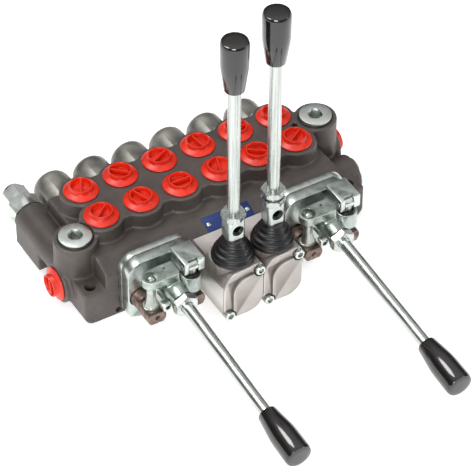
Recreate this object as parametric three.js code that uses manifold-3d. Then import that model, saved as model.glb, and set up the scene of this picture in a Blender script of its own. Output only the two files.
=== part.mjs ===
// Six-spool monoblock directional control valve with two cross levers and two booted levers.
// Millimetres. X runs along the row of spools, Y points to the spring caps, Z is up.
// The origin is the middle of the flat underside, under the middle of the port rows.

import * as THREE from 'three';
import { mergeVertices } from 'three/addons/utils/BufferGeometryUtils.js';
import Module from 'manifold-3d';

const wasm = await Module();
wasm.setup();

// ---- Driving dimensions -------------------------------------------------------------------

const GAP = 0.3; // working gap between touching pieces
const PITCH = 35; // spool to spool
const SPOOLS = 6;
const SPOOL_Z = 28; // height of the spool axes
const SPOOL_R = 8;

const BODY_X = 108; // half length of the main block
const BODY_FRONT = -60;
const BODY_BACK = 35;
const DECK_Z = 51; // top of the main block
const BAND_Z = 45.2; // front edge of the sloping band that carries the nameplate
const ISLAND_Z = 64; // top of the raised port island
const ISLAND_R = 17.5; // scallop round each port
const PORT_Y = 16.5; // port rows at +Y and -Y
const PORT_R = 9.7;
const SHANK_R = 9.1; // plug shank in a port

const PLUG_FLANGE_R = 14;
const PLUG_FLANGE_T = 2.7;
const PLUG_RING_R = 9.2;
const PLUG_RING_T = 4;
const STEEL_PLUG_R = 13.3;
const STEEL_PLUG_T = 3;
const SOCKET_AF = 10; // hexagon socket across flats

const LUG_IN = 107;
const LUG_OUT = 126.8;
const LUG_Z = 31;
const LUG_ROUND = 9;
const LUG_X = 117.3; // mounting hole centres
const LUG_FRONT_Y = -51;
const LUG_BACK_Y = 25;
const LUG_HOLE_R = 4.5;

const CAP_R = 16; // spring cap
const CAP_END = 73;

const PLATE_X = [-27.5, 33]; // cross lever bracket plates, from the middle of their two spools
const PLATE_Z = [3, 62];
const PLATE_ROUND = 12;
const PIVOT_Y = -94.5; // tilt pin and swing axis of a cross lever
const PIVOT_Z = 59;
const LINK_Y = -94; // ball link between swing arm and spool
const ARM_Z = [56.5, 63.5];
const BARREL_Z = 46;
const BARREL_END = -113;
const ROD_R = 5;
const CROSS_ROD_END = -256;
const LEVER_LEAN = 4.8; // degrees that the rod and its barrel droop below level
const KNOB_R = 10.9;
const KNOB_LENGTH = 46;

const STICK_Y = -97.5; // axis of a booted lever
const STICK_PIVOT_Z = 52;
const HOUSING_HALF = 17.2;
const HOUSING_Z = [8, 55]; // foot of the housing and top of its boot turret
const HOUSING_TOP = 54;
const HOUSING_FRONT = -112;
const BOOT_TOP = 77;
const EYE_HALF = 7.25;
const EYE_Z = [77.5, 95.5];
const STICK_KNOB_TOP = [267.5, 279.5]; // left and right levers

const ROUND = 16; // sides of a large round piece
const FINE = 12; // sides of a small round piece or a bore

const spoolX = (n) => (n - (SPOOLS - 1) / 2) * PITCH;

// ---- Finishes -----------------------------------------------------------------------------

const finish = (color, roughness, metalness) => new THREE.MeshStandardMaterial({ color, roughness, metalness });
const PAINT = finish(0x4a4543, 0.6, 0.1);
const ZINC = finish(0xa9b2ad, 0.4, 0.8);
const STEEL = finish(0x8d7f74, 0.35, 0.9);
const ALUMINIUM = finish(0xa39c97, 0.5, 0.7);
const DIECAST = finish(0x8f8d88, 0.5, 0.6);
const RED_PLASTIC = finish(0xf0330f, 0.45, 0);
const RUBBER = finish(0x17171a, 0.6, 0);
const BLACK_PLASTIC = finish(0x0c0c0d, 0.2, 0);

// ---- Solids -------------------------------------------------------------------------------

// Turn a closed geometry into a solid, whichever way its faces were wound.
function solid(geometry) {
  const bare = geometry.clone();
  bare.deleteAttribute('normal');
  bare.deleteAttribute('uv');
  const merged = mergeVertices(bare, 1e-4);
  const points = merged.attributes.position.array;
  const corners = merged.index.array;
  const kept = [];
  let volume = 0;
  const at = (i) => new THREE.Vector3().fromArray(points, 3 * i);
  for (let i = 0; i < corners.length; i += 3) {
    const [a, b, c] = corners.slice(i, i + 3);
    if (a === b || b === c || c === a) continue;
    kept.push(a, b, c);
    volume += at(a).dot(at(b).cross(at(c)));
  }
  const triVerts = Uint32Array.from(volume < 0 ? kept.reverse() : kept);
  return new wasm.Manifold(new wasm.Mesh({ numProp: 3, vertProperties: Float32Array.from(points), triVerts }));
}

const join = (...pieces) => pieces.reduce((whole, piece) => whole.add(piece));
const cut = (whole, ...tools) => tools.reduce((left, tool) => left.subtract(tool), whole);

function block([x0, x1], [y0, y1], [z0, z1]) {
  const box = new THREE.BoxGeometry(x1 - x0, y1 - y0, z1 - z0);
  return solid(box.translate((x0 + x1) / 2, (y0 + y1) / 2, (z0 + z1) / 2));
}

// Lay a geometry made along Y onto the X or Z axis.
function lay(geometry, axis) {
  if (axis === 'x') geometry.rotateZ(-Math.PI / 2);
  if (axis === 'z') geometry.rotateX(Math.PI / 2);
  return geometry;
}

// A round bar along an axis; at holds the two cross coordinates in X, Y, Z order.
function bar(axis, radius, from, to, at = [0, 0], sides = ROUND, endRadius = radius) {
  const geometry = lay(new THREE.CylinderGeometry(endRadius, radius, to - from, sides), axis);
  const middle = (from + to) / 2;
  const [p, q] = at;
  const place = { x: [middle, p, q], y: [p, middle, q], z: [p, q, middle] }[axis];
  return solid(geometry.translate(...place));
}

// A turned piece: profile points are [radius, distance along the axis]. A profile that
// doesn't end on the axis runs back to its first point.
function turned(axis, profile, sides = ROUND) {
  const points = profile.map(([radius, along]) => new THREE.Vector2(radius, along));
  if (points.at(-1).x > 0) points.push(points[0].clone());
  return solid(lay(new THREE.LatheGeometry(points, sides), axis));
}

// A hexagon bar by its size across flats.
function hexagon(axis, acrossFlats, from, to, at = [0, 0]) {
  return bar(axis, acrossFlats / Math.sqrt(3), from, to, at, 6);
}

// A flat outline in X and Z, extruded along Y.
function plateXZ(shape, from, to) {
  const geometry = new THREE.ExtrudeGeometry(shape, { depth: to - from, bevelEnabled: false, curveSegments: 5 });
  return solid(geometry.rotateX(Math.PI / 2).translate(0, to, 0));
}

// A flat outline in X and Y, extruded along Z.
function plateXY(shape, from, to) {
  const geometry = new THREE.ExtrudeGeometry(shape, { depth: to - from, bevelEnabled: false, curveSegments: 5 });
  return solid(geometry.translate(0, 0, from));
}

// A flat outline given as (Z, Y), extruded along X.
function plateZY(shape, from, to) {
  const geometry = new THREE.ExtrudeGeometry(shape, { depth: to - from, bevelEnabled: false });
  return solid(geometry.rotateY(-Math.PI / 2).translate(to, 0, 0));
}

function roundedRectangle(x0, x1, y0, y1, radius) {
  const shape = new THREE.Shape();
  shape.absarc(x1 - radius, y0 + radius, radius, -Math.PI / 2, 0);
  shape.absarc(x1 - radius, y1 - radius, radius, 0, Math.PI / 2);
  shape.absarc(x0 + radius, y1 - radius, radius, Math.PI / 2, Math.PI);
  shape.absarc(x0 + radius, y0 + radius, radius, Math.PI, 1.5 * Math.PI);
  return shape;
}

const valve = new THREE.Group();

function add(name, body, material, position = [0, 0, 0], parent = valve) {
  const { vertProperties, triVerts } = body.getMesh();
  const geometry = new THREE.BufferGeometry();
  geometry.setAttribute('position', new THREE.BufferAttribute(vertProperties, 3));
  geometry.setIndex(new THREE.BufferAttribute(triVerts, 1));
  geometry.computeVertexNormals();
  const mesh = new THREE.Mesh(geometry, material);
  mesh.name = name;
  mesh.position.set(...position);
  parent.add(mesh);
  return mesh;
}

// ---- Valve body: one casting, bored and drilled -------------------------------------------

const INLET_TOP = { x: -114, y: -23, z: 59 };
const TANK_TOP = { x: 117, y: 0, z: 64 };
const INLET_SIDE = { x: -132, y: -23, z: 19 };
const TANK_SIDE = { x: 135, y: 4, z: 27 };
const CARRYOVER = { x: 134, y: -30, z: 18 };
const RELIEF = { x: -118, y: 46, z: SPOOL_Z };
const RELIEF_BOSS_R = 13.8;
const BOSS_R = 17.5;

// End lug seen along Y, with a round on its outer lower edge.
function lugOutline(side) {
  const shape = new THREE.Shape();
  shape.moveTo(side * LUG_IN, 0);
  shape.lineTo(side * (LUG_OUT - LUG_ROUND), 0);
  shape.quadraticCurveTo(side * LUG_OUT, 0, side * LUG_OUT, LUG_ROUND);
  shape.lineTo(side * LUG_OUT, LUG_Z);
  shape.lineTo(side * LUG_IN, LUG_Z);
  return shape;
}

function valveBody() {
  const half = 2.5 * PITCH;
  let body = join(
    block([-BODY_X, BODY_X], [BODY_FRONT, BODY_BACK], [0, DECK_Z]),
    block([-half, half], [-PORT_Y - 11, PORT_Y + 11], [DECK_Z - 2, ISLAND_Z]),
    bar('z', BOSS_R, 12, INLET_TOP.z, [INLET_TOP.x, INLET_TOP.y]),
    bar('x', 16.5, INLET_SIDE.x, -100, [INLET_SIDE.y, INLET_SIDE.z]),
    bar('y', RELIEF_BOSS_R, -20, RELIEF.y, [RELIEF.x, RELIEF.z]),
    block([RELIEF.x - RELIEF_BOSS_R, -107], [7, RELIEF.y], [7, 26]),
    plateXZ(lugOutline(-1), BODY_FRONT, -4),
    bar('z', BOSS_R, 12, TANK_TOP.z, [TANK_TOP.x, TANK_TOP.y]),
    bar('x', BOSS_R, 100, TANK_SIDE.x, [TANK_SIDE.y, TANK_SIDE.z]),
    bar('x', 17, 100, CARRYOVER.x, [CARRYOVER.y, CARRYOVER.z]),
    plateXZ(lugOutline(1), BODY_FRONT, BODY_BACK),
  );
  for (let n = 0; n < SPOOLS; n += 1) {
    for (const y of [-PORT_Y, PORT_Y]) {
      body = body.add(bar('z', ISLAND_R, DECK_Z - 2, ISLAND_Z, [spoolX(n), y]));
    }
  }
  for (let n = 0; n < SPOOLS; n += 1) {
    for (const y of [-PORT_Y, PORT_Y]) {
      body = body.subtract(bar('z', PORT_R, SPOOL_Z, ISLAND_Z + 1, [spoolX(n), y], FINE));
    }
    body = body.subtract(bar('y', SPOOL_R + 0.4, BODY_FRONT - 1, BODY_BACK + 1, [spoolX(n), SPOOL_Z], FINE));
  }
  const band = new THREE.Shape();
  band.moveTo(DECK_Z + 1, -44);
  band.lineTo(DECK_Z, -44);
  band.lineTo(BAND_Z, BODY_FRONT);
  band.lineTo(BAND_Z, BODY_FRONT - 1);
  band.lineTo(DECK_Z + 1, BODY_FRONT - 1);
  const drilled = [
    plateZY(band, -BODY_X - 1, BODY_X + 1),
    bar('z', STEEL_PLUG_R + 0.8, INLET_TOP.z, ISLAND_Z + 1, [INLET_TOP.x, INLET_TOP.y]),
    bar('z', PORT_R, INLET_TOP.z - 20, INLET_TOP.z + 1, [INLET_TOP.x, INLET_TOP.y], FINE),
    bar('z', PORT_R, TANK_TOP.z - 20, TANK_TOP.z + 1, [TANK_TOP.x, TANK_TOP.y], FINE),
    bar('x', PORT_R, INLET_SIDE.x - 1, INLET_SIDE.x + 26, [INLET_SIDE.y, INLET_SIDE.z], FINE),
    bar('x', PORT_R, TANK_SIDE.x - 20, TANK_SIDE.x + 1, [TANK_SIDE.y, TANK_SIDE.z], FINE),
    bar('x', PORT_R, CARRYOVER.x - 20, CARRYOVER.x + 1, [CARRYOVER.y, CARRYOVER.z], FINE),
    bar('y', PORT_R, RELIEF.y - 30, RELIEF.y + 1, [RELIEF.x, RELIEF.z], FINE),
    bar('z', LUG_HOLE_R, -1, LUG_Z + 1, [-LUG_X, LUG_FRONT_Y], FINE),
    bar('z', LUG_HOLE_R, -1, LUG_Z + 1, [LUG_X, LUG_FRONT_Y], FINE),
    bar('z', LUG_HOLE_R, -1, LUG_Z + 1, [LUG_X, LUG_BACK_Y], FINE),
  ];
  return cut(body, ...drilled);
}

add('valve_body', valveBody(), PAINT);

// ---- Plugs --------------------------------------------------------------------------------

// Moulded transport plug: shank, flange and a raised ring crossed by a thin finger bar.
function transportPlug() {
  const shell = turned('z', [
    [0, -8],
    [SHANK_R, -8],
    [SHANK_R, GAP],
    [PLUG_FLANGE_R, GAP],
    [PLUG_FLANGE_R, PLUG_FLANGE_T + GAP],
    [PLUG_RING_R, PLUG_FLANGE_T + GAP],
    [PLUG_RING_R, PLUG_FLANGE_T + PLUG_RING_T],
    [PLUG_RING_R - 1.6, PLUG_FLANGE_T + PLUG_RING_T],
    [PLUG_RING_R - 1.6, 1],
    [0, 1],
  ], FINE);
  const fingerBar = block([-PLUG_RING_R + 1, PLUG_RING_R - 1], [-0.6, 0.6], [0, PLUG_FLANGE_T + PLUG_RING_T - 1]);
  return shell.add(fingerBar);
}

// Zinc-plated screw plug: shank and flange with a hexagon socket.
function steelPlug() {
  const shell = turned('z', [
    [0, -12],
    [SHANK_R, -12],
    [SHANK_R, GAP],
    [STEEL_PLUG_R, GAP],
    [STEEL_PLUG_R, STEEL_PLUG_T - 0.6],
    [STEEL_PLUG_R - 0.8, STEEL_PLUG_T],
    [0, STEEL_PLUG_T],
  ]);
  return shell.subtract(hexagon('z', SOCKET_AF, -5, STEEL_PLUG_T + 1));
}

const plugShape = transportPlug();
for (let n = 0; n < SPOOLS; n += 1) {
  for (const [row, y] of [['front', -PORT_Y], ['back', PORT_Y]]) {
    const plug = add(`${row}_port_plug_${n + 1}`, plugShape, RED_PLASTIC, [spoolX(n), y, ISLAND_Z]);
    plug.rotation.z = 0.9 + 1.7 * n + y;
  }
}
const inletSidePlug = add('inlet_side_plug', plugShape, RED_PLASTIC, [INLET_SIDE.x, INLET_SIDE.y, INLET_SIDE.z]);
inletSidePlug.rotation.y = -Math.PI / 2;
const tankSidePlug = add('tank_side_plug', plugShape, RED_PLASTIC, [TANK_SIDE.x, TANK_SIDE.y, TANK_SIDE.z]);
tankSidePlug.rotation.y = Math.PI / 2;

const steelShape = steelPlug();
add('inlet_top_plug', steelShape, ZINC, [INLET_TOP.x, INLET_TOP.y, INLET_TOP.z]);
add('tank_top_plug', steelShape, ZINC, [TANK_TOP.x, TANK_TOP.y, TANK_TOP.z]);
const carryoverPlug = add('carryover_plug', steelShape, ZINC, [CARRYOVER.x, CARRYOVER.y, CARRYOVER.z]);
carryoverPlug.rotation.y = Math.PI / 2;

// ---- Relief valve cartridge ---------------------------------------------------------------

const reliefCartridge = join(
  bar('y', SHANK_R, -18, 1, [0, 0], FINE),
  bar('y', 3, -24, -17, [0, 0], FINE, SHANK_R - 1.4),
  hexagon('y', 24, GAP, 15),
  bar('y', 5, 14, 24, [0, 0], FINE),
);
const reliefCap = turned('y', [
  [0, 24.5],
  [0, 34],
  [9, 34],
  [10.9, 33],
  [10.9, 15.3],
  [6.2, 15.3],
  [6.2, 24.5],
], 6);
add('relief_valve_cartridge', reliefCartridge, ZINC, [RELIEF.x, RELIEF.y, RELIEF.z]);
add('relief_valve_cap_nut', reliefCap, ZINC, [RELIEF.x, RELIEF.y, RELIEF.z]);

// ---- Spools and spring caps ---------------------------------------------------------------

const TONGUE_START = -86;
const TONGUE_END = -104;
const SPOOL_TAIL = 36;

// A spool runs along Y: lands and metering grooves inside the block, a flat eyed tongue in
// front, and a thin tail with two spring collars inside the cap behind.
function spool(eyeY, eyeR, tongueEnd) {
  const lands = turned('y', [
    [0, tongueEnd],
    [SPOOL_R, tongueEnd],
    [SPOOL_R, -24],
    [5, -22],
    [5, -10],
    [SPOOL_R, -8],
    [SPOOL_R, 8],
    [5, 10],
    [5, 22],
    [SPOOL_R, 24],
    [SPOOL_R, SPOOL_TAIL],
    [3.5, SPOOL_TAIL],
    [3.5, 42],
    [9, 42],
    [9, 44],
    [3.5, 44],
    [3.5, 53],
    [9, 53],
    [9, 55],
    [0, 55],
  ], FINE);
  return cut(
    lands,
    block([-9, 9], [tongueEnd - 1, TONGUE_START], [5, 9]),
    block([-9, 9], [tongueEnd - 1, TONGUE_START], [-9, -5]),
    bar('z', eyeR, -10, 10, [0, eyeY], FINE),
    bar('y', 1.5, tongueEnd - 1, tongueEnd + 4, [0, 0], 8),
  );
}

// Die-cast cap over the centring spring, screwed to the back of the block.
function springCap() {
  const shell = turned('y', [
    [0, CAP_END],
    [CAP_R - 4, CAP_END],
    [CAP_R - 1, CAP_END - 1.5],
    [CAP_R, CAP_END - 5],
    [CAP_R, BODY_BACK + GAP],
    [CAP_R - 3, BODY_BACK + GAP],
    [CAP_R - 3, CAP_END - 4],
    [0, CAP_END - 4],
  ]);
  return shell;
}

const LINK_EYE_R = 3.5;
const TILT_EYE_R = 5.2;
const STICK_EYE_R = 4.8;
const tongues = [
  [LINK_Y, LINK_EYE_R, TONGUE_END],
  [PIVOT_Y, TILT_EYE_R, TONGUE_END + 1.5],
  [STICK_Y, STICK_EYE_R, TONGUE_END],
  [STICK_Y, STICK_EYE_R, TONGUE_END],
  [LINK_Y, LINK_EYE_R, TONGUE_END],
  [PIVOT_Y, TILT_EYE_R, TONGUE_END + 1.5],
];
const capShape = springCap();
tongues.forEach(([eyeY, eyeR, end], n) => {
  add(`spool_${n + 1}`, spool(eyeY, eyeR, end), STEEL, [spoolX(n), 0, SPOOL_Z]);
  add(`spring_cap_${n + 1}`, capShape, DIECAST, [spoolX(n), 0, SPOOL_Z]);
});

// ---- Cross levers -------------------------------------------------------------------------
// Each is made about the middle of its pair of spools: the swing spool at -LINK_X and the
// tilt spool at +LINK_X.

const LINK_X = PITCH / 2;
const BRACKET_BACK = BODY_FRONT - 6;
const BRACKET_FRONT = BODY_FRONT - 16;

function plateOutline() {
  return roundedRectangle(PLATE_X[0], PLATE_X[1], PLATE_Z[0], PLATE_Z[1], PLATE_ROUND);
}

function spoolHoles(radius) {
  return [-LINK_X, LINK_X].map((x) => bar('y', radius, BRACKET_FRONT - 1, BODY_FRONT + 1, [x, SPOOL_Z], FINE));
}

function sealPlate() {
  return cut(plateXZ(plateOutline(), BRACKET_BACK + GAP, BODY_FRONT - GAP), ...spoolHoles(8.5));
}

// The bracket plate carries a block whose front is forked round the tilt pin. A thin roof
// covers the back half of the slot.
const EAR_R = 7;
const EAR_FOOT = PIVOT_Z - 4.7;
const ROOF_Z = PIVOT_Z + 4.4;
const PIN_R = 2.5;

function leverBracket() {
  const fork = new THREE.Shape();
  fork.moveTo(LINK_X - 8, BRACKET_FRONT + 1);
  fork.lineTo(LINK_X - 8, PIVOT_Y - 3.7);
  fork.lineTo(LINK_X + 10, PIVOT_Y - 3.7);
  fork.lineTo(LINK_X + 10, BRACKET_FRONT + 1);
  const across = [LINK_X - 4.3, LINK_X + 4.3];
  const plate = plateXZ(plateOutline(), BRACKET_FRONT, BRACKET_BACK);
  return cut(
    join(plate, plateXY(fork, EAR_FOOT, PIVOT_Z + EAR_R)),
    block(across, [PIVOT_Y - 9, PIVOT_Y + 8], [EAR_FOOT - 1, ROOF_Z]),
    block(across, [PIVOT_Y - 9, PIVOT_Y + 0.5], [EAR_FOOT - 1, PIVOT_Z + 8]),
    bar('x', PIN_R + 0.35, LINK_X - 10, LINK_X + 11, [PIVOT_Y, PIVOT_Z], FINE),
    bar('y', 9.5, BRACKET_FRONT - 1, BRACKET_FRONT + 3.5, [-LINK_X + 1, 4], FINE),
    ...spoolHoles(9),
  );
}

// The tilt shaft turns on its cross pin in the fork. The lever swings round the shaft, and
// its lower end drives the tilt spool.
const SHAFT_R = 4;
const PIVOT_FOOT = SPOOL_Z - 5 - PIVOT_Z; // lower end of the shaft, measured from the pin

function tiltShaft() {
  const head = join(
    bar('x', SHAFT_R, -3.9, 3.9, [0, 0], FINE),
    bar('x', PIN_R, -8, 8, [0, 0], FINE),
  );
  return join(
    head,
    bar('z', SHAFT_R, PIVOT_FOOT + 10, 0, [0, 0], FINE),
    bar('z', 3, PIVOT_FOOT, PIVOT_FOOT + 10, [0, 0], FINE),
  );
}

const SLEEVE_Z = [37.7, 51.5]; // the lever's sleeve round the shaft
const BALL_HOLE_R = 5.7;

// Droop a solid of the cross lever about the barrel's axis at the pivot.
function leaned(body) {
  const level = body.translate([0, -PIVOT_Y, -BARREL_Z]);
  return level.rotate([LEVER_LEAN, 0, 0]).translate([0, PIVOT_Y, BARREL_Z]);
}

function leverCasting() {
  const shaftX = LINK_X;
  const arm = new THREE.Shape();
  arm.absarc(-LINK_X, LINK_Y, 7.5, Math.PI / 2, 1.5 * Math.PI);
  arm.lineTo(3, LINK_Y - 7);
  arm.lineTo(5, LINK_Y - 4);
  arm.lineTo(5, LINK_Y + 8);
  arm.lineTo(-4, LINK_Y + 8);
  const web = new THREE.Shape();
  web.moveTo(-6.5, LINK_Y - 7);
  web.lineTo(4, LINK_Y - 7);
  web.lineTo(5, LINK_Y + 7);
  web.lineTo(-6.5, LINK_Y + 7);
  const barrel = turned('y', [
    [0, BARREL_END],
    [8.3, BARREL_END],
    [8.3, BARREL_END + 4],
    [9.6, LINK_Y - 4],
    [9.6, LINK_Y + 5],
    [7, LINK_Y + 8],
    [0, LINK_Y + 8],
  ]).translate([0, 0, BARREL_Z]);
  const solidCasting = join(
    plateXY(arm, ARM_Z[0], ARM_Z[1]),
    plateXY(web, BARREL_Z, ARM_Z[0] + 1),
    leaned(barrel),
    block([0, shaftX], [PIVOT_Y - 5, PIVOT_Y + 5], [SLEEVE_Z[0] + 1, SLEEVE_Z[1] - 2]),
    bar('z', 8, SLEEVE_Z[0], SLEEVE_Z[1], [shaftX, PIVOT_Y]),
  );
  return cut(
    solidCasting,
    bar('z', SHAFT_R + 0.35, SLEEVE_Z[0] - 1, SLEEVE_Z[1] + 1, [shaftX, PIVOT_Y], FINE),
    bar('z', BALL_HOLE_R, ARM_Z[0] - 1, ARM_Z[1] + 1, [-LINK_X, LINK_Y], FINE),
    leaned(bar('y', ROD_R + GAP, BARREL_END - 1, BARREL_END + 16, [0, BARREL_Z], FINE)),
  );
}

// Upright link: pinned in the tongue of the swing spool, its ball sits in the arm's eye.
function linkPost() {
  const foot = SPOOL_Z - 9;
  return turned('z', [
    [0, foot],
    [LINK_EYE_R - GAP, foot],
    [LINK_EYE_R - GAP, SPOOL_Z + 5 + GAP],
    [5.5, SPOOL_Z + 5 + GAP],
    [5.5, SPOOL_Z + 9],
    [3.6, SPOOL_Z + 16],
    [3.6, 50],
    [2.4, 53],
    [2.4, 56],
    [4.2, 58.3],
    [4.2, 60.7],
    [2.4, 63.3],
    [0, 63.3],
  ], FINE);
}

function crossRod() {
  return bar('y', ROD_R, CROSS_ROD_END, BARREL_END + 15, [0, 0], FINE);
}

function leverNut() {
  return cut(
    hexagon('y', 18, BARREL_END - 6, BARREL_END - GAP),
    bar('y', ROD_R + GAP, BARREL_END - 7, BARREL_END, [0, 0], FINE),
  );
}

// Tapered grip with a flat end, mouth at 0, bored for the rod.
function knob(axis, direction) {
  const profile = [
    [5.4, 0],
    [7.7, 0],
    [8.3, 0.8],
    [KNOB_R - 0.2, 0.46 * KNOB_LENGTH],
    [KNOB_R, 0.93 * KNOB_LENGTH],
    [0.94 * KNOB_R, 0.98 * KNOB_LENGTH],
    [0.84 * KNOB_R, KNOB_LENGTH],
    [0, KNOB_LENGTH],
    [0, 22],
    [5.4, 22],
  ];
  return turned(axis, profile.map(([radius, along]) => [radius, direction * along]), FINE);
}

const crossLever = {
  seal_plate: [sealPlate(), ZINC, [0, 0, 0]],
  lever_bracket: [leverBracket(), ZINC, [0, 0, 0]],
  tilt_shaft: [tiltShaft(), STEEL, [LINK_X, PIVOT_Y, PIVOT_Z]],
  lever_casting: [leverCasting(), ZINC, [0, 0, 0]],
  link_post: [linkPost(), ZINC, [-LINK_X, LINK_Y, 0]],
};
const leaningPieces = {
  rod_nut: [leverNut(), ZINC, [0, -PIVOT_Y, 0]],
  rod: [crossRod(), ZINC, [0, -PIVOT_Y, 0]],
  knob: [knob('y', -1), BLACK_PLASTIC, [0, CROSS_ROD_END + 20 - PIVOT_Y, 0]],
};
for (const [side, x] of [['left', -2 * PITCH], ['right', 2 * PITCH]]) {
  const group = new THREE.Group();
  group.position.x = x;
  valve.add(group);
  for (const [name, [body, material, position]] of Object.entries(crossLever)) {
    add(`${side}_cross_${name}`, body, material, position, group);
  }
  const leaning = new THREE.Group();
  leaning.position.set(0, PIVOT_Y, BARREL_Z);
  leaning.rotation.x = THREE.MathUtils.degToRad(LEVER_LEAN);
  group.add(leaning);
  for (const [name, [body, material, position]] of Object.entries(leaningPieces)) {
    add(`${side}_cross_${name}`, body, material, position, leaning);
  }
}

// ---- Booted levers ------------------------------------------------------------------------

// Leaf-shaped outline with screw corners at lower left and upper right.
function leafOutline(half, low, high, bulge) {
  const shape = new THREE.Shape();
  shape.moveTo(-half, low);
  shape.lineTo(half - bulge, low);
  shape.absarc(half - bulge, low + bulge, bulge, -Math.PI / 2, 0);
  shape.lineTo(half, high);
  shape.lineTo(-half + bulge, high);
  shape.absarc(-half + bulge, high - bulge, bulge, Math.PI / 2, Math.PI);
  return shape;
}

function leverHousing() {
  const shell = join(
    plateXZ(leafOutline(HOUSING_HALF, HOUSING_Z[0], HOUSING_TOP, 15), HOUSING_FRONT, BODY_FRONT - GAP),
    bar('z', HOUSING_HALF, HOUSING_Z[0] + 14, HOUSING_Z[1], [0, STICK_Y + 3]),
  );
  return cut(
    shell,
    block([-18, 18], [STICK_Y + 17.2, BODY_FRONT + 1], [HOUSING_Z[1] - 7, HOUSING_Z[1]]),
    block([-12, 12], [HOUSING_FRONT - 3, BODY_FRONT - 5], [SPOOL_Z - 12, SPOOL_Z + 12]),
    bar('z', 8, SPOOL_Z + 5, HOUSING_Z[1] + 1, [0, STICK_Y], FINE),
    bar('y', SPOOL_R + 0.4, BODY_FRONT - 8, BODY_FRONT + 1, [0, SPOOL_Z], FINE),
  );
}

const PAD_X = [-10.5, 15.2]; // raised pad of the cover
const PAD_Z = [10.5, 47.5];
const COVER_SCREWS = [[-13.4, 13], [13.2, 49]];

function housingCover() {
  const outline = new THREE.Shape();
  outline.moveTo(PAD_X[0], PAD_Z[0]);
  outline.absarc(PAD_X[1] - 11, PAD_Z[0] + 11, 11, -Math.PI / 2, 0);
  outline.lineTo(PAD_X[1], PAD_Z[1]);
  outline.absarc(PAD_X[0] + 11, PAD_Z[1] - 11, 11, Math.PI / 2, Math.PI);
  const wells = COVER_SCREWS.map((place) => bar('y', 5.5, HOUSING_FRONT - 6, HOUSING_FRONT - 1, place, FINE));
  const pad = cut(plateXZ(outline, HOUSING_FRONT - 5.5, HOUSING_FRONT - 2), ...wells);
  return join(
    plateXZ(leafOutline(HOUSING_HALF, HOUSING_Z[0], HOUSING_TOP, 15), HOUSING_FRONT - 2.6, HOUSING_FRONT - GAP),
    pad,
  );
}

// Bellows boot: a hollow rubber cone from the housing's top to the eye block.
function boot() {
  const foot = HOUSING_Z[1] + GAP;
  return turned('z', [
    [8.5, foot],
    [17, foot],
    [17, foot + 4.2],
    [14.4, foot + 5.6],
    [15.3, foot + 8],
    [11.8, foot + 10],
    [12.4, foot + 12.4],
    [9.2, foot + 15],
    [8.8, BOOT_TOP],
    [5.2, BOOT_TOP],
    [5.2, foot + 15],
    [8.5, foot + 8],
  ], FINE);
}

// Eye block, neck, pivot ball and driving pin in one forging.
const STICK_FOOT = SPOOL_Z - 5;

function eyeBlock() {
  const ball = turned('z', [
    [0, -7],
    [4.5, -5.4],
    [7, 0],
    [4.5, 5.4],
    [0, 7],
  ], FINE);
  const whole = join(
    block([-EYE_HALF, EYE_HALF], [-EYE_HALF, EYE_HALF], EYE_Z),
    bar('z', 4.5, STICK_PIVOT_Z, EYE_Z[0] + 1, [0, 0], FINE),
    ball.translate([0, 0, STICK_PIVOT_Z]),
    bar('z', 3, STICK_FOOT, STICK_PIVOT_Z, [0, 0], FINE),
  );
  return cut(
    whole,
    bar('y', 4.8, -EYE_HALF - 1, EYE_HALF + 1, [0, (EYE_Z[0] + EYE_Z[1]) / 2], FINE),
  );
}

function stickRod(knobTop, nuts) {
  const start = EYE_Z[1] + GAP;
  const collars = nuts.map((from) => hexagon('z', 17, start + from, start + from + 5));
  return join(bar('z', ROD_R, start, knobTop - KNOB_LENGTH + 20, [0, 0], FINE), ...collars);
}

const bootedLever = {
  housing: [leverHousing(), ALUMINIUM, [0, 0, 0]],
  housing_cover: [housingCover(), ALUMINIUM, [0, 0, 0]],
  boot: [boot(), RUBBER, [0, STICK_Y, 0]],
  eye_block: [eyeBlock(), ZINC, [0, STICK_Y, 0]],
};
const sticks = [
  ['left', -PITCH / 2, [0]],
  ['right', PITCH / 2, [0, 8]],
];
sticks.forEach(([side, x, nuts], n) => {
  const group = new THREE.Group();
  group.position.x = x;
  valve.add(group);
  for (const [name, [body, material, position]] of Object.entries(bootedLever)) {
    add(`${side}_stick_${name}`, body, material, position, group);
  }
  add(`${side}_stick_rod`, stickRod(STICK_KNOB_TOP[n], nuts), ZINC, [0, STICK_Y, 0], group);
  const mouth = [0, STICK_Y, STICK_KNOB_TOP[n] - KNOB_LENGTH];
  add(`${side}_stick_knob`, knob('z', 1), BLACK_PLASTIC, mouth, group);
});

export default valve;
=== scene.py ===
import math

import bmesh
import bpy
from mathutils import Euler, Matrix, Vector


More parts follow.
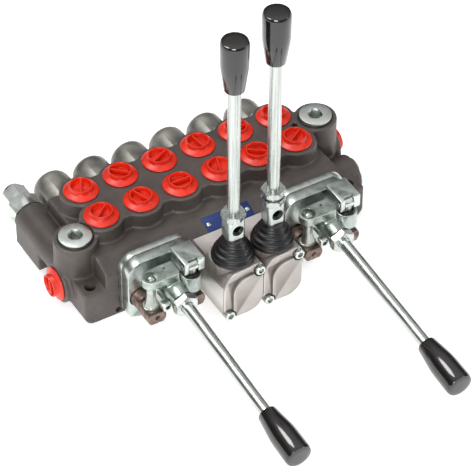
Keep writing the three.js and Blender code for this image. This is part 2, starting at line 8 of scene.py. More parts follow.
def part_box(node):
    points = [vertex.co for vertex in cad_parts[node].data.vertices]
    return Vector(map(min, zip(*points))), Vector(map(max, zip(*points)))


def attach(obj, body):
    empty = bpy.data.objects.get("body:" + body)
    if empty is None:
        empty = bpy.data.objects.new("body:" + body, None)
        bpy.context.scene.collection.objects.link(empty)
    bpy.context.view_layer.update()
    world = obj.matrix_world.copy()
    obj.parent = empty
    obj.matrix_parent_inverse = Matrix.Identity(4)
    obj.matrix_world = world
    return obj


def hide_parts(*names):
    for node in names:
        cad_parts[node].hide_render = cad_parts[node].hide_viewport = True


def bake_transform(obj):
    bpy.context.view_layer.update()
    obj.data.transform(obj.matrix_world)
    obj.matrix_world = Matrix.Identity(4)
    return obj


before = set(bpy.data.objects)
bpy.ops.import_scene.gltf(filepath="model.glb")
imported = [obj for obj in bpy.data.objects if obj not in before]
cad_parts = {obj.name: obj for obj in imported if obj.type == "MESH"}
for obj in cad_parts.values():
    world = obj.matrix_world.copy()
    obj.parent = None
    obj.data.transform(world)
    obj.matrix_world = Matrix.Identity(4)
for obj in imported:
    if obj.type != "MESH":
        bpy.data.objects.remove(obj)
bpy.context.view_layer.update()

# ---- Valve body ---------------------------------------------------------------------------
# One grey-iron casting, sand cast with rounded edges and fillets, then bored for six spools
# and drilled for the ports, and sprayed dark grey-brown all over.

MM = 0.001
PITCH = 35
SPOOLS = 6
SPOOL_Z = 28
SPOOL_R = 8
BODY_X = 108
BODY_FRONT = -60
BODY_BACK = 35
DECK_Z = 51
ISLAND_Z = 64
ISLAND_R = 17.5
PORT_Y = 16.5
PORT_R = 9.7
BOSS_R = 17.5
LUG_Z = 31
LUG_HOLES = ((-117.3, -51), (117.3, -51), (117.3, 25))
BAND_Z = 45.2


def place_of(node):
    """Middle of a CAD node's box, in millimetres."""
    low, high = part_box(node)
    return [(a + b) / 2 / MM for a, b in zip(low, high)]


def side_of(node, axis, end):
    """One side of a CAD node's box, in millimetres: end 0 is the low side, 1 the high side."""
    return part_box(node)[end]["xyz".index(axis)] / MM


def spool_x(n):
    return (n - (SPOOLS - 1) / 2) * PITCH


def solid(points, faces):
    """A closed mesh from points in millimetres, with its faces outward."""
    mesh = bpy.data.meshes.new("solid")
    mesh.from_pydata([Vector(p) * MM for p in points], [], faces)
    outward = bmesh.new()
    outward.from_mesh(mesh)
    bmesh.ops.recalc_face_normals(outward, faces=outward.faces)
    outward.to_mesh(mesh)
    outward.free()
    piece = bpy.data.objects.new("solid", mesh)
    bpy.context.scene.collection.objects.link(piece)
    return piece


def along(axis, p, q, t):
    """A point from two cross coordinates and a distance along an axis."""
    return {"x": (t, p, q), "y": (p, t, q), "z": (p, q, t)}[axis]


def prism(axis, outline, start, stop):
    """A flat outline drawn across an axis, run from start to stop."""
    count = len(outline)
    points = [along(axis, p, q, t) for t in (start, stop) for p, q in outline]
    faces = [tuple(range(count))[::-1], tuple(range(count, 2 * count))]
    for i in range(count):
        j = (i + 1) % count
        faces.append((i, j, count + j, count + i))
    return solid(points, faces)


def block(low, high):
    outline = [(low[0], low[1]), (high[0], low[1]), (high[0], high[1]), (low[0], high[1])]
    return prism("z", outline, low[2], high[2])


def bar(axis, radius, start, stop, at=(0, 0), sides=64):
    turns = [2 * math.pi * i / sides for i in range(sides)]
    if sides == 6:
        turns = [turn + math.pi / 6 for turn in turns]
    outline = [(at[0] + radius * math.cos(a), at[1] + radius * math.sin(a)) for a in turns]
    return prism(axis, outline, start, stop)


def settle(piece):
    """Make what a piece's modifiers show its own mesh."""
    shown = piece.evaluated_get(bpy.context.evaluated_depsgraph_get())
    mesh = bpy.data.meshes.new_from_object(shown)
    piece.modifiers.clear()
    piece.data = mesh
    return piece


def fuse(base, *others, how="UNION"):
    """Join other solids to base, or cut them out of it, and throw them away."""
    for other in others:
        change = base.modifiers.new("join", "BOOLEAN")
        change.operation = how
        change.solver = "MANIFOLD"
        change.object = other
    settle(base)
    for other in others:
        bpy.data.objects.remove(other)
    return base


def carve(base, *tools):
    return fuse(base, *tools, how="DIFFERENCE")


def cast_skin(piece, grain, rounds):
    """Give a solid a casting's soft edges and fillets: even cells, then smoothing."""
    cells = piece.modifiers.new("cells", "REMESH")
    cells.mode = "VOXEL"
    cells.voxel_size = grain * MM
    relax = piece.modifiers.new("relax", "SMOOTH")
    relax.factor = 0.5
    relax.iterations = rounds
    return settle(piece)


def shade(piece, degrees=32):
    """Smooth shading that keeps edges sharper than the given angle."""
    piece.data.polygons.foreach_set("use_smooth", [True] * len(piece.data.polygons))
    piece.data.set_sharp_from_angle(angle=math.radians(degrees))
    return piece


def fit(piece, name, material, body, *nodes, slot=None):
    """Name a finished piece, paint it, and let it ride where its CAD node rode."""
    piece.name = name
    piece.data.name = name
    piece.data.materials.clear()
    piece.data.materials.append(material)
    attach(piece, body)
    if nodes:
        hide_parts(*nodes)
    return piece


def linear(code):
    """An sRGB hex colour as linear red, green, blue and alpha."""
    parts = [int(code[i:i + 2], 16) / 255 for i in (1, 3, 5)]
    return [c / 12.92 if c <= 0.04045 else ((c + 0.055) / 1.055) ** 2.4 for c in parts] + [1]


def add_node(tree, kind, settings=None, **inputs):
    """Add a node. An input given a socket is linked to it, and any other input is set."""
    made = tree.nodes.new("ShaderNode" + kind)
    for key, value in (settings or {}).items():
        setattr(made, key, value)
    for key, value in inputs.items():
        socket = made.inputs[int(key[1:])] if key[1:].isdigit() else made.inputs[key.replace("_", " ")]
        if isinstance(value, bpy.types.NodeSocket):
            tree.links.new(value, socket)
        else:
            socket.default_value = value
    return made


def new_material(name):
    """An empty material with its tree and its own position in metres."""
    made = bpy.data.materials.new(name)
    made.use_nodes = True
    tree = made.node_tree
    tree.nodes.clear()
    where = add_node(tree, "TexCoord").outputs["Object"]
    return made, tree, where


def mixed(tree, amount, low, high):
    """Two hex colours blended by a node's value."""
    blend = add_node(tree, "Mix", {"data_type": "RGBA"}, Factor=amount)
    for index, colour in ((6, low), (7, high)):
        if isinstance(colour, bpy.types.NodeSocket):
            tree.links.new(colour, blend.inputs[index])
        else:
            blend.inputs[index].default_value = linear(colour)
    return blend.outputs[2]


def spread(tree, value, low, high, start=0.0, stop=1.0):
    """A node's value stretched from start..stop to low..high."""
    ranged = add_node(tree, "MapRange", None, Value=value)
    for key, number in (("From Min", start), ("From Max", stop), ("To Min", low), ("To Max", high)):
        ranged.inputs[key].default_value = number
    return ranged.outputs[0]


def output(tree, shader):
    add_node(tree, "OutputMaterial", None, Surface=shader.outputs[0])


def sprayed_iron():
    """Sprayed enamel on sand-cast iron: satin, dark, with the sand's grain under the paint, and
    a little lighter on the sharp edges, partly a thin, worn coat and partly a painted highlight."""
    made, tree, where = new_material("sprayed_enamel_on_cast_iron")
    sand = add_node(tree, "TexNoise", None, Vector=where, Scale=1 / (1.1 * MM), Detail=4, Roughness=0.6)
    coat = add_node(tree, "TexNoise", None, Vector=where, Scale=1 / (28 * MM), Detail=5, Roughness=0.62)
    edge = add_node(tree, "NewGeometry").outputs["Pointiness"]
    tone = mixed(tree, spread(tree, coat.outputs[0], 0, 1, 0.35, 0.65), "#3d3633", "#4d4642")
    # Sharp edges are mixed toward a pale colour: partly wear, partly a painted highlight.
    edge_wear_and_highlight = mixed(tree, spread(tree, edge, 0, 0.6, 0.52, 0.6), tone, "#665d57")
    bump = add_node(tree, "Bump", None, Height=sand.outputs[0], Strength=0.22, Distance=0.25 * MM)
    rough = spread(tree, sand.outputs[0], 0.38, 0.58, 0.3, 0.7)
    shader = add_node(tree, "BsdfPrincipled", None, Base_Color=edge_wear_and_highlight, Roughness=rough, Normal=bump.outputs[0])
    shader.inputs["IOR"].default_value = 1.5
    output(tree, shader)
    return made


def lug_outline(side):
    """End lug seen along Y, with a round on its outer lower edge."""
    turns = [math.radians(10 * i) for i in range(10)]
    corner = [(side * (117.8 + 9 * math.sin(a)), 9 - 9 * math.cos(a)) for a in turns]
    return [(side * 107, 0)] + corner + [(side * 126.8, LUG_Z), (side * 107, LUG_Z)]


def valve_body():
    inlet_top = place_of("inlet_top_plug")
    tank_top = place_of("tank_top_plug")
    inlet_side = place_of("inlet_side_plug")
    tank_side = place_of("tank_side_plug")
    carryover = place_of("carryover_plug")
    relief = place_of("relief_valve_cartridge")
    relief_left = relief[0] - 13.8
    half = 2.5 * PITCH
    body = block((-BODY_X, BODY_FRONT, 0), (BODY_X, BODY_BACK, DECK_Z))
    casting = [
        block((-half, -PORT_Y - 11, DECK_Z - 2), (half, PORT_Y + 11, ISLAND_Z)),
        bar("z", BOSS_R, 12, 59, inlet_top[:2]),
        bar("x", 16.5, -132, -100, inlet_side[1:]),
        bar("y", 13.8, -20, 46, (relief[0], relief[2])),
        block((relief_left, 7, 7), (-107, 46, 26)),
        prism("y", lug_outline(-1), BODY_FRONT, -4),
        bar("z", BOSS_R, 12, ISLAND_Z, tank_top[:2]),
        bar("x", BOSS_R, 100, 135, tank_side[1:]),
        bar("x", 17, 100, 134, carryover[1:]),
        prism("y", lug_outline(1), BODY_FRONT, BODY_BACK),
    ]
    for n in range(SPOOLS):
        for y in (-PORT_Y, PORT_Y):
            casting.append(bar("z", ISLAND_R, DECK_Z - 2, ISLAND_Z, (spool_x(n), y)))
    fuse(body, *casting)
    band = [(-44, DECK_Z), (BODY_FRONT - 1, BAND_Z), (BODY_FRONT - 1, DECK_Z + 1), (-44, DECK_Z + 1)]
    carve(body, prism("x", band, -BODY_X - 1, BODY_X + 1))
    cast_skin(body, 0.9, 7)
    drilled = [
        bar("z", 14.1, 59, ISLAND_Z + 3, inlet_top[:2]),
        bar("z", PORT_R, 39, 70, inlet_top[:2]),
        bar("z", PORT_R, 44, 70, tank_top[:2]),
        bar("x", PORT_R, -140, -106, inlet_side[1:]),
        bar("x", PORT_R, 115, 140, tank_side[1:]),
        bar("x", PORT_R, 114, 140, carryover[1:]),
        bar("y", PORT_R, 16, 50, (relief[0], relief[2])),
        bar("y", 2.5, BODY_FRONT - 2, BODY_FRONT + 12, (-98, 5)),
    ]
    for x, y in LUG_HOLES:
        drilled.append(bar("z", 4.5, -2, 40, (x, y)))
    for n in range(SPOOLS):
        drilled.append(bar("y", SPOOL_R + 0.4, BODY_FRONT - 2, BODY_BACK + 2, (spool_x(n), SPOOL_Z)))
        for y in (-PORT_Y, PORT_Y):
            drilled.append(bar("z", PORT_R, SPOOL_Z, ISLAND_Z + 3, (spool_x(n), y)))
    carve(body, *drilled)
    return shade(body)


iron_paint = sprayed_iron()
fit(valve_body(), "valve_body_casting", iron_paint, "root", "valve_body", slot="body_paint")

# ---- Transport plugs ----------------------------------------------------------------------
# Fourteen injection-moulded polyethylene plugs pushed into the open ports: a tapered flange, a
# raised ring and a thin finger bar across it. Each stands at whatever angle it was pushed in.

PLUG_PROFILE = [
    (0, -8), (9.1, -8), (9.1, 0.3), (13.3, 0.3), (13.8, 0.5), (14, 0.9), (13.9, 1.3), (13.4, 1.7),
    (10.1, 2.9), (9.5, 3.3), (9.25, 3.9), (9.2, 6.2), (9.05, 6.6), (8.7, 6.7), (8.2, 6.65),
    (7.95, 6.3), (7.8, 2.5), (7.4, 2.1), (0, 2.0),
]


def lathe(axis, profile, at=(0, 0, 0), sides=96):
    """A turned piece from (radius, distance) points that start and end on the axis, or close."""
    points, rings = [], []
    for radius, t in profile:
        count = sides if radius else 1
        rings.append(list(range(len(points), len(points) + count)))
        for i in range(count):
            turn = 2 * math.pi * i / sides
            p = along(axis, radius * math.cos(turn), radius * math.sin(turn), t)
            points.append([a + b for a, b in zip(p, at)])
    faces = []
    pairs = list(zip(rings, rings[1:]))
    if profile[0][0]:
        pairs.append((rings[-1], rings[0]))
    for low, high in pairs:
        for i in range(sides):
            j = (i + 1) % sides
            corners = [low[i % len(low)], low[j % len(low)], high[j % len(high)], high[i % len(high)]]
            faces.append(tuple(dict.fromkeys(corners)))
    return solid(points, faces)


def move(piece, at=(0, 0, 0), turn=(0, 0, 0)):
    """Turn a piece by degrees about X, Y and Z, then shift it, in its own mesh."""
    spin = Euler([math.radians(a) for a in turn]).to_matrix().to_4x4()
    piece.data.transform(Matrix.Translation(Vector(at) * MM) @ spin)
    return piece


def soft_edges(piece, width, steps=2, angle=30):
    """Round the edges sharper than an angle."""
    edge = piece.modifiers.new("edges", "BEVEL")
    edge.width = width * MM
    edge.segments = steps
    edge.limit_method = "ANGLE"
    edge.angle_limit = math.radians(angle)
    edge.use_clamp_overlap = True
    return settle(piece)


def moulded_polyethylene():
    """Soft red-orange polyethylene: light sinks in a little and the skin is waxy, with faint
    flow marks from the mould."""
    made, tree, where = new_material("injection_moulded_polyethylene")
    flow = add_node(tree, "TexNoise", None, Vector=where, Scale=1 / (9 * MM), Detail=3, Distortion=1.2)
    skin = add_node(tree, "TexNoise", None, Vector=where, Scale=1 / (0.8 * MM), Detail=2)
    tone = mixed(tree, spread(tree, flow.outputs[0], 0, 1, 0.35, 0.65), "#c41a03", "#d92806")
    bump = add_node(tree, "Bump", None, Height=skin.outputs[0], Strength=0.08, Distance=0.1 * MM)
    rough = spread(tree, flow.outputs[0], 0.3, 0.44)
    shader = add_node(tree, "BsdfPrincipled", None, Base_Color=tone, Roughness=rough, Normal=bump.outputs[0],
                      Subsurface_Weight=0.12, Subsurface_Scale=1.5 * MM)
    output(tree, shader)
    return made


def transport_plug(place, turn):
    plug = lathe("z", PLUG_PROFILE)
    fuse(plug, block((-8.4, -0.6, 1.4), (8.4, 0.6, 5.9)))
    move(plug, turn=(0, 0, turn[2]))
    move(plug, place, (turn[0], turn[1], 0))
    return shade(plug, 40)


polyethylene = moulded_polyethylene()
for n in range(SPOOLS):
    for row, y in (("front", -PORT_Y), ("back", PORT_Y)):
        angle = 38 + 71 * n + 25 * (y > 0)
        node = f"{row}_port_plug_{n + 1}"
        plug = transport_plug((spool_x(n), y, ISLAND_Z), (0, 0, angle))
        fit(plug, f"{row}_transport_plug_{n + 1}", polyethylene, "root", node, slot="plug_plastic")
side_plugs = (("inlet_side_plug", 0, -90, 20), ("tank_side_plug", 1, 90, 65))
for node, end, tip, angle in side_plugs:
    place = place_of(node)
    place[0] = -132 if end == 0 else 135
    plug = transport_plug(place, (0, tip, angle))
    fit(plug, node.replace("plug", "transport_plug"), polyethylene, "root", node, slot="plug_plastic")

# ---- Steel screw plugs and their seal rings ------------------------------------------------
# Three turned steel plugs with a hexagon socket, zinc plated, screwed down on black rubber
# seal rings that show as a dark line round the flange.

SOCKET_AF = 10


def hexagon(axis, across, start, stop, at=(0, 0)):
    return bar(axis, across / math.sqrt(3), start, stop, at, 6)


def zinc_plating(name, warm, cool, finish_scale):
    """Pale zinc plating on turned or milled steel: soft reflections, broken by fine tool marks and
    by the uneven bloom of the passivated skin."""
    made, tree, where = new_material(name)
    bloom = add_node(tree, "TexNoise", None, Vector=where, Scale=1 / (7 * MM), Detail=6, Roughness=0.65)
    marks = add_node(tree, "TexNoise", None, Vector=where, Scale=1 / (finish_scale * MM), Detail=3)
    edge = add_node(tree, "NewGeometry").outputs["Pointiness"]
    tone = mixed(tree, spread(tree, bloom.outputs[0], 0, 1, 0.35, 0.65), warm, cool)
    # Sharp edges are mixed toward near white: a painted highlight.
    painted_edge_highlight = mixed(tree, spread(tree, edge, 0, 0.8, 0.51, 0.58), tone, "#dde2de")
    rough = spread(tree, bloom.outputs[0], 0.24, 0.42, 0.3, 0.7)
    bump = add_node(tree, "Bump", None, Height=marks.outputs[0], Strength=0.12, Distance=0.08 * MM)
    shader = add_node(tree, "BsdfPrincipled", None, Base_Color=painted_edge_highlight, Metallic=1.0, Roughness=rough,
                      Normal=bump.outputs[0])
    output(tree, shader)
    return made


def moulded_rubber():
    """Black nitrile rubber: dull, with a faint oily shine and fine pitting."""
    made, tree, where = new_material("moulded_nitrile_rubber")
    pits = add_node(tree, "TexNoise", None, Vector=where, Scale=1 / (0.9 * MM), Detail=4)
    haze = add_node(tree, "TexNoise", None, Vector=where, Scale=1 / (11 * MM), Detail=3)
    tone = mixed(tree, spread(tree, haze.outputs[0], 0, 1, 0.35, 0.65), "#070607", "#100e10")
    rough = spread(tree, haze.outputs[0], 0.3, 0.48, 0.3, 0.7)
    bump = add_node(tree, "Bump", None, Height=pits.outputs[0], Strength=0.15, Distance=0.12 * MM)
    output(tree, add_node(tree, "BsdfPrincipled", None, Base_Color=tone, Roughness=rough,
                          Normal=bump.outputs[0]))
    return made


def screw_plug():
    plug = lathe("z", [(0, -12), (9.1, -12), (9.1, 0.3), (12.9, 0.3), (13.3, 0.7), (13.3, 2.3), (13.1, 2.8),
                       (12.5, 3), (0, 3)])
    carve(plug, hexagon("z", SOCKET_AF, -5, 4), lathe("z", [(0, 0.8), (4.9, 0.8), (6.2, 3.2), (0, 3.2)]))
    return plug


def seal_ring(radius, thick):
    ring = [(radius + thick * math.cos(a), 0.7 + 0.9 * thick * math.sin(a))
            for a in (math.pi * i / 6 for i in range(12))]
    return lathe("z", ring)


zinc = zinc_plating("zinc_plated_turned_steel", "#8f948d", "#b9beb8", 1.2)
rubber = moulded_rubber()
screw_plugs = (("inlet_top_plug", 59, None), ("tank_top_plug", ISLAND_Z, None), ("carryover_plug", None, 134))
for node, height, face in screw_plugs:
    place = place_of(node)
    turn = (0, 0, 0)
    if height:
        place[2] = height
    else:
        place[0] = face
        turn = (0, 90, 0)
    fit(shade(move(screw_plug(), place, turn)), node.replace("plug", "screw_plug"), zinc, "root", node,
        slot="zinc_plate")
    ring = move(seal_ring(13.6, 0.9), place, turn)
    fit(shade(ring), node.replace("plug", "seal_ring"), rubber, "root", slot="boot_rubber")

# ---- Relief valve --------------------------------------------------------------------------
# A hexagon cartridge screwed into the back of the inlet boss on a seal ring. A closed cap nut
# covers its adjusting screw.

RELIEF = (-118, 46, SPOOL_Z)


def relief_cartridge():
    cartridge = lathe("y", [(0, -24), (3, -24), (7.7, -17), (9.1, -17), (9.1, 0), (12.6, 0), (12.6, 1.2),
                            (0, 1.2)], RELIEF)
    hexed = carve(hexagon("y", 24, 1, 15, (0, 0)),
                  lathe("y", [(12.9, 15.1), (14.2, 13.4), (14.2, 15.1)], sides=64))
    fuse(cartridge, move(hexed, RELIEF), lathe("y", [(0, 14), (5, 14), (5, 24), (0, 24)], RELIEF))
    return shade(cartridge)


def relief_cap_nut():
    cap = hexagon("y", 19, 15.3, 30)
    fuse(cap, lathe("y", [(0, 29), (9.3, 29), (9.3, 31), (8.6, 32.6), (7, 33.6), (4, 34), (0, 34)]))
    carve(cap, bar("y", 6.2, 15, 24.5), lathe("y", [(9.4, 15.2), (11.2, 16.9), (11.2, 15.2)], sides=64))
    return shade(move(cap, RELIEF))


fit(relief_cartridge(), "relief_cartridge", zinc, "root", "relief_valve_cartridge", slot="zinc_plate")
fit(relief_cap_nut(), "relief_cap_nut", zinc, "root", "relief_valve_cap_nut", slot="zinc_plate")
ring = move(seal_ring(12.6, 0.8), RELIEF, (-90, 0, 0))
fit(shade(ring), "relief_seal_ring", rubber, "root", slot="boot_rubber")

# ---- Spools --------------------------------------------------------------------------------
# Six ground and hardened steel spools, each lapped to its own bore. The front end is milled to
# a flat tongue with an upright eye, and keeps the centre hole it was turned on.

TONGUE_START = -86


def ground_steel():
    """Ground, oiled spool steel: light brown from the quench, with fine turning rings that
    stretch the highlights and darker mottling."""
    made, tree, where = new_material("ground_hardened_steel")
    stretch = add_node(tree, "Mapping", None, Vector=where)
    stretch.inputs["Scale"].default_value = (120, 2600, 120)
    rings = add_node(tree, "TexNoise", None, Vector=stretch.outputs[0], Scale=1.0, Detail=3)
    mottle = add_node(tree, "TexNoise", None, Vector=where, Scale=1 / (4 * MM), Detail=5)
    tone = mixed(tree, spread(tree, mottle.outputs[0], 0, 1, 0.35, 0.65), "#5d504a", "#8d7a70")
    rough = spread(tree, rings.outputs[0], 0.3, 0.5, 0.3, 0.7)
    bump = add_node(tree, "Bump", None, Height=rings.outputs[0], Strength=0.1, Distance=0.05 * MM)
    shader = add_node(tree, "BsdfPrincipled", None, Base_Color=tone, Metallic=0.85, Roughness=rough,
                      Normal=bump.outputs[0])
    output(tree, shader)
    return made


def spool_shape(n):
    node = f"spool_{n + 1}"
    tip = side_of(node, "y", 0)
    eye_y, eye_r = ((-94, 3.5), (-94.5, 5.2), (-97.5, 4.8), (-97.5, 4.8), (-94, 3.5), (-94.5, 5.2))[n]
    at = (spool_x(n), 0, SPOOL_Z)
    spool = lathe("y", [(0, tip), (7.1, tip), (7.8, tip + 0.5), (8, tip + 1.2), (8, -24), (5, -22), (5, -10),
                        (8, -8), (8, 8), (5, 10), (5, 22), (8, 24), (8, 36), (3.5, 36), (3.5, 42), (9, 42),
                        (9, 44), (3.5, 44), (3.5, 53), (9, 53), (9, 55), (0, 55)], at)
    x = at[0]
    flats = [block((x - 9, tip - 1, SPOOL_Z + 5), (x + 9, TONGUE_START, SPOOL_Z + 9)),
             block((x - 9, tip - 1, SPOOL_Z - 9), (x + 9, TONGUE_START, SPOOL_Z - 5))]
    carve(spool, *flats)
    carve(spool, bar("z", eye_r, 15, 40, (x, eye_y), 48))
    carve(spool, lathe("y", [(0, tip - 1), (2.6, tip - 1), (2.2, tip), (1.3, tip + 1.4), (1.2, tip + 4),
                             (0, tip + 4.5)], at, 32))
    return shade(spool)


spool_steel = ground_steel()
for n in range(SPOOLS):
    node = f"spool_{n + 1}"
    fit(spool_shape(n), f"ground_spool_{n + 1}", spool_steel, f"{node}_slide_body", node, slot="spool_steel")

# ---- Spring caps ---------------------------------------------------------------------------
# Die-cast caps over the centring springs, each held to the back of the block by a screw
# through an ear on top.

CAP_SCREW_Z = SPOOL_Z + 15


def die_casting():
    """Bare die-cast zinc alloy: even grey, slightly satin, with the mould's fine frost."""
    made, tree, where = new_material("bare_die_casting")
    frost = add_node(tree, "TexNoise", None, Vector=where, Scale=1 / (1.0 * MM), Detail=4)
    cloud = add_node(tree, "TexNoise", None, Vector=where, Scale=1 / (14 * MM), Detail=4)
    tone = mixed(tree, spread(tree, cloud.outputs[0], 0, 1, 0.35, 0.65), "#7d7a74", "#a09d96")
    rough = spread(tree, cloud.outputs[0], 0.36, 0.52, 0.3, 0.7)
    bump = add_node(tree, "Bump", None, Height=frost.outputs[0], Strength=0.2, Distance=0.12 * MM)
    shader = add_node(tree, "BsdfPrincipled", None, Base_Color=tone, Metallic=0.8, Roughness=rough,
                      Normal=bump.outputs[0])
    output(tree, shader)
    return made


def socket_screw(axis, radius, height, key):
    """A socket head from 0 to height along an axis, knurling shown as shallow flutes."""
    flutes = 14
    outline = []
    for i in range(2 * flutes):
        turn = math.pi * i / flutes
        reach = radius - (0.38 if i % 2 else 0)
        outline.append((reach * math.cos(turn), reach * math.sin(turn)))
    head = prism(axis, outline, 0, 0.86 * height)
    fuse(head, lathe(axis, [(0, 0.8 * height), (radius - 0.15, 0.8 * height), (radius - 0.15, 0.9 * height),
                            (radius - 0.7, height), (0, height)], sides=48))
    carve(head, hexagon(axis, key, 0.45 * height, height + 1))
    return head


def spring_cap(x):
    cap = lathe("y", [(0, 73), (10, 73), (12.4, 72.5), (14.2, 71.2), (15.4, 69.2), (15.9, 66.8), (16, 64),
                      (16, 35.3), (13, 35.3), (13, 69), (0, 69)])
    ear = fuse(bar("y", 4.6, 35.3, 43, (0, 15)), block((-4.6, 35.3, 12.8), (4.6, 43, 15)))
    fuse(cap, ear)
    carve(cap, bar("y", 13, 34, 44))
    return shade(move(soft_edges(cap, 0.5, 2, 40), (x, 0, SPOOL_Z)))


die_cast = die_casting()
for n in range(SPOOLS):
    fit(spring_cap(spool_x(n)), f"die_cast_cap_{n + 1}", die_cast, "root", f"spring_cap_{n + 1}",
        slot="die_cast")
    screw = move(socket_screw("y", 3.6, 4, 3), (spool_x(n), 43, CAP_SCREW_Z))
    fit(shade(screw), f"cap_screw_{n + 1}", zinc, "root", slot="zinc_plate")

# ---- Nameplate -----------------------------------------------------------------------------
# A thin anodised plate held by two drive rivets on the sloping band in front of the ports. It
# is left blank.

PLATE_LENGTH = 42
PLATE_WIDTH = 14
BAND_SLOPE = math.degrees(math.atan2(DECK_Z - BAND_Z, 16))


def anodised_sheet():
    """Deep blue anodised aluminium sheet: satin, with the rolled grain along its length."""
    made, tree, where = new_material("blue_anodised_sheet")
    stretch = add_node(tree, "Mapping", None, Vector=where)
    stretch.inputs["Scale"].default_value = (80, 2200, 2200)
    grain = add_node(tree, "TexNoise", None, Vector=stretch.outputs[0], Scale=1.0, Detail=3)
    tone = mixed(tree, spread(tree, grain.outputs[0], 0, 1, 0.3, 0.7), "#142558", "#1f3570")
    rough = spread(tree, grain.outputs[0], 0.3, 0.45, 0.3, 0.7)
    bump = add_node(tree, "Bump", None, Height=grain.outputs[0], Strength=0.06, Distance=0.05 * MM)
    output(tree, add_node(tree, "BsdfPrincipled", None, Base_Color=tone, Metallic=0.35, Roughness=rough,
                          Normal=bump.outputs[0]))
    return made


plate_at = (5, -52, (DECK_Z + BAND_Z) / 2 + 0.05)
plate = block((-PLATE_LENGTH / 2, -PLATE_WIDTH / 2, 0), (PLATE_LENGTH / 2, PLATE_WIDTH / 2, 0.5))
soft_edges(plate, 0.15)
fit(shade(move(plate, plate_at, (BAND_SLOPE, 0, 0))), "blank_nameplate", anodised_sheet(), "root",
    slot="body_paint")
for side, x in (("left", -17.5), ("right", 17.5)):
    rivet = lathe("z", [(0, 0.3), (2.1, 0.3), (2.1, 0.6), (1.8, 1.1), (1.1, 1.5), (0, 1.6)], (x, 0, 0), 32)
    fit(shade(move(rivet, plate_at, (BAND_SLOPE, 0, 0))), f"nameplate_rivet_{side}", zinc, "root",
        slot="zinc_plate")

# ---- Cross levers --------------------------------------------------------------------------
# Two levers that tilt and swing. A seal plate and a bracket plate are screwed to the block over
# a pair of spools. The bracket's fork holds a tilt shaft, a cast lever turns on the shaft, and
# its arm moves the outer spool through an upright ball link.

PLATE_X = (-27.5, 33)
PLATE_Z = (3, 62)
PIVOT_Y = -94.5
PIVOT_Z = 59
LINK_X = 17.5
BRACKET_FRONT = -76
LINK_Y = -94
BARREL_Z = 46
LEAN = 4.8


def arc(cx, cz, radius, start, stop, steps=10):
    turns = [math.radians(start + (stop - start) * i / steps) for i in range(steps + 1)]
    return [(cx + radius * math.cos(a), cz + radius * math.sin(a)) for a in turns]


def plate_outline(round_by=12):
    (x0, x1), (z0, z1) = PLATE_X, PLATE_Z
    r = round_by
    return (arc(x1 - r, z0 + r, r, -90, 0) + arc(x1 - r, z1 - r, r, 0, 90)
            + arc(x0 + r, z1 - r, r, 90, 180) + arc(x0 + r, z0 + r, r, 180, 270))


def seal_plate():
    plate = prism("y", plate_outline(), -65.7, -60.3)
    carve(plate, *[bar("y", 8.5, -67, -59, (x, SPOOL_Z)) for x in (-LINK_X, LINK_X)])
    return soft_edges(plate, 0.5, 2, 40)


def lever_bracket():
    plate = prism("y", plate_outline(), BRACKET_FRONT, -66)
    soft_edges(plate, 0.7, 2, 40)
    x = LINK_X
    front = PIVOT_Y - 3.7
    fork = soft_edges(block((x - 8, front, 54.3), (x + 10, BRACKET_FRONT + 1, 66)), 0.8, 3, 40)
    fuse(plate, fork)
    carve(plate, block((x - 4.3, front - 2, 53), (x + 4.3, PIVOT_Y + 8, 63.4)))
    carve(plate, block((x - 4.3, front - 2, 53), (x + 4.3, PIVOT_Y + 0.5, 67)))
    carve(plate, bar("x", 2.85, x - 11, x + 11, (PIVOT_Y, PIVOT_Z), 32))
    carve(plate, *[bar("y", 9, BRACKET_FRONT - 2, -64, (hole, SPOOL_Z)) for hole in (-x, x)])
    carve(plate, bar("y", 9.5, BRACKET_FRONT - 2, BRACKET_FRONT + 3.5, (-x + 1, 4)))
    return plate


def tilt_shaft():
    shaft = lathe("z", [(0, -36), (2.6, -36), (3, -35.4), (3, -26), (4, -26), (4, 2), (0, 2)], sides=48)
    fuse(shaft, bar("x", 4, -3.9, 3.9, sides=48), bar("x", 2.5, -8.4, 8.4, sides=48))
    return move(shaft, (LINK_X, PIVOT_Y, PIVOT_Z))


def leaned(piece):
    """Droop a piece of the lever about its barrel's axis at the pivot."""
    move(piece, (0, -PIVOT_Y, -BARREL_Z))
    return move(piece, (0, PIVOT_Y, BARREL_Z), (LEAN, 0, 0))


def lever_casting():
    arm = [(5, -98), (5, -86), (-4, -86)] + arc(-LINK_X, LINK_Y, 7.8, 90, 270, 16) + [(3, -101.5)]
    web = [(-7, -101), (4, -101), (5, -87), (-7, -87)]
    casting = prism("z", arm, 56.5, 63.5)
    barrel = lathe("y", [(0, -113), (8.5, -113), (8.5, -109), (9.8, -98), (9.8, -89), (7.2, -86), (0, -86)],
                   (0, 0, BARREL_Z), 64)
    fuse(casting, prism("z", web, BARREL_Z, 58), leaned(barrel),
         block((0, PIVOT_Y - 5.3, 38.7), (LINK_X, PIVOT_Y + 5.3, 50)),
         bar("z", 8.3, 37.7, 51.5, (LINK_X, PIVOT_Y)))
    cast_skin(casting, 0.42, 8)
    carve(casting, bar("z", 4.35, 30, 60, (LINK_X, PIVOT_Y), 48))
    carve(casting, bar("z", 5.7, 50, 66, (-LINK_X, LINK_Y), 48), bar("z", 1.1, 61, 66, (-4.4, -90.7), 24))
    carve(casting, leaned(bar("y", 5.3, -118, -97, (0, BARREL_Z), 48)))
    return casting


def link_post():
    return lathe("z", [(0, 18.5), (3.2, 18.5), (3.2, 33.3), (5.5, 33.3), (5.5, 35.3), (5.2, 36.4), (3.9, 42),
                       (3.6, 44), (3.6, 50), (2.4, 52.5), (2.4, 56)] + arc(0, 59.5, 4.2, -50, 90, 10)[:-1]
                 + [(0, 63.7)], (-LINK_X, LINK_Y, 0), 48)


